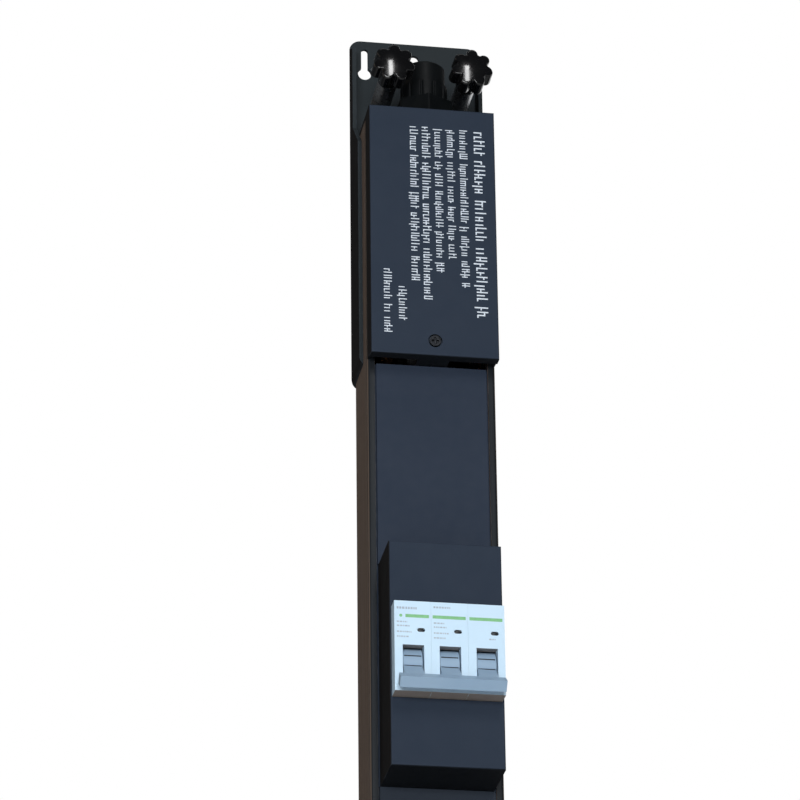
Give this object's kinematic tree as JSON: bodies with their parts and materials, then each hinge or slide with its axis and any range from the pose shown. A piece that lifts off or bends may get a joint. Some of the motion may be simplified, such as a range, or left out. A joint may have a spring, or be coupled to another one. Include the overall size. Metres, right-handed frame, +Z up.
{
  "type": "rack power strip",
  "caption": "Tall vertical rack power strip with a terminal box, star-knob fixing screws, a three-pole breaker and a row of recessed sockets.",
  "frame": {"origin": "midway between the two top fixing screws, on the rear face that lies against the rack", "axes": "+Z up along the strip towards its inlet end; the front faces -Y and the rack is on the +Y side; +X is to the right seen from the front"},
  "size_m": [0.068, 0.1003, 1.221],
  "materials": {
    "anodised_channel": "dark anodised",
    "coated_steel": "satin powder coat",
    "panel_plastic": "fine grain",
    "socket_plastic": "moulded grain",
    "gland_nylon": "moulded nylon",
    "knob_plastic": "polished",
    "seal_rubber": "matt",
    "breaker_case": "satin moulding",
    "toggle_plastic": "satin moulding",
    "block_plastic": "moulded",
    "zinc_steel": "zinc plated",
    "contact_brass": "bright",
    "bar_copper": "bare copper",
    "wire_insulation": "PVC"
  },
  "bodies": {
    "strip": {"channel": "anodised_channel", "top_bracket": "coated_steel", "bottom_bracket": "coated_steel", "bracket_screws": "zinc_steel", "top_end_plate": "coated_steel", "bottom_end_cap": "panel_plastic", "end_screws": "zinc_steel", "terminal_cover": "coated_steel", "cover_screw": "zinc_steel", "cover_standoff": "zinc_steel", "gland_body": "gland_nylon", "gland_seal": "seal_rubber", "gland_locknut": "gland_nylon", "terminal_block": "block_plastic", "terminal_clamps": "contact_brass", "terminal_screws": "zinc_steel", "earth_hardware": "contact_brass", "blank_panel": "panel_plastic", "breaker_housing": "coated_steel", "din_rail": "zinc_steel", "rail_screws": "zinc_steel", "breaker_pole_1": "breaker_case", "breaker_pole_2": "breaker_case", "breaker_pole_3": "breaker_case", "breaker_mechanism": "zinc_steel", "breaker_terminals": "contact_brass", "toggle_pivots": "zinc_steel", "supply_wires": "wire_insulation", "output_wires": "wire_insulation", "neutral_bar": "bar_copper", "earth_bar": "bar_copper", "line_bars": "bar_copper", "outlet_contacts_1": "contact_brass", "outlet_contacts_2": "contact_brass", "outlet_contacts_3": "contact_brass", "knob_sleeves": "zinc_steel", "outlet_01": "socket_plastic", "outlet_02": "socket_plastic", "outlet_03": "socket_plastic", "outlet_04": "socket_plastic", "outlet_05": "socket_plastic", "outlet_06": "socket_plastic", "outlet_07": "socket_plastic", "outlet_08": "socket_plastic", "outlet_09": "socket_plastic", "outlet_10": "socket_plastic", "outlet_11": "socket_plastic", "outlet_12": "socket_plastic", "outlet_13": "socket_plastic", "outlet_14": "socket_plastic", "outlet_15": "socket_plastic"},
    "toggle": {"toggle_levers": "toggle_plastic", "toggle_tie_bar": "toggle_plastic"},
    "left_knob": {"knob_left": "knob_plastic", "screw_left": "zinc_steel"},
    "right_knob": {"knob_right": "knob_plastic", "screw_right": "zinc_steel"},
    "gland_ring": {"gland_nut": "gland_nylon"}
  },
  "joints": [
    {"name": "toggle_swing", "type": "hinge", "parent": "strip", "child": "toggle", "pos_m": [0, -0.069, -0.33], "axis": [-1, 0, 0], "range_deg": [0, 60]},
    {"name": "left_knob_turn", "type": "hinge", "parent": "strip", "child": "left_knob", "pos_m": [-0.02, 0, 0], "axis": [0, -1, 0], "continuous": true},
    {"name": "right_knob_turn", "type": "hinge", "parent": "strip", "child": "right_knob", "pos_m": [0.02, 0, 0], "axis": [0, -1, 0], "continuous": true},
    {"name": "gland_turn", "type": "hinge", "parent": "strip", "child": "gland_ring", "pos_m": [0, -0.03, 0], "axis": [0, 0, 1], "continuous": true}
  ]
}
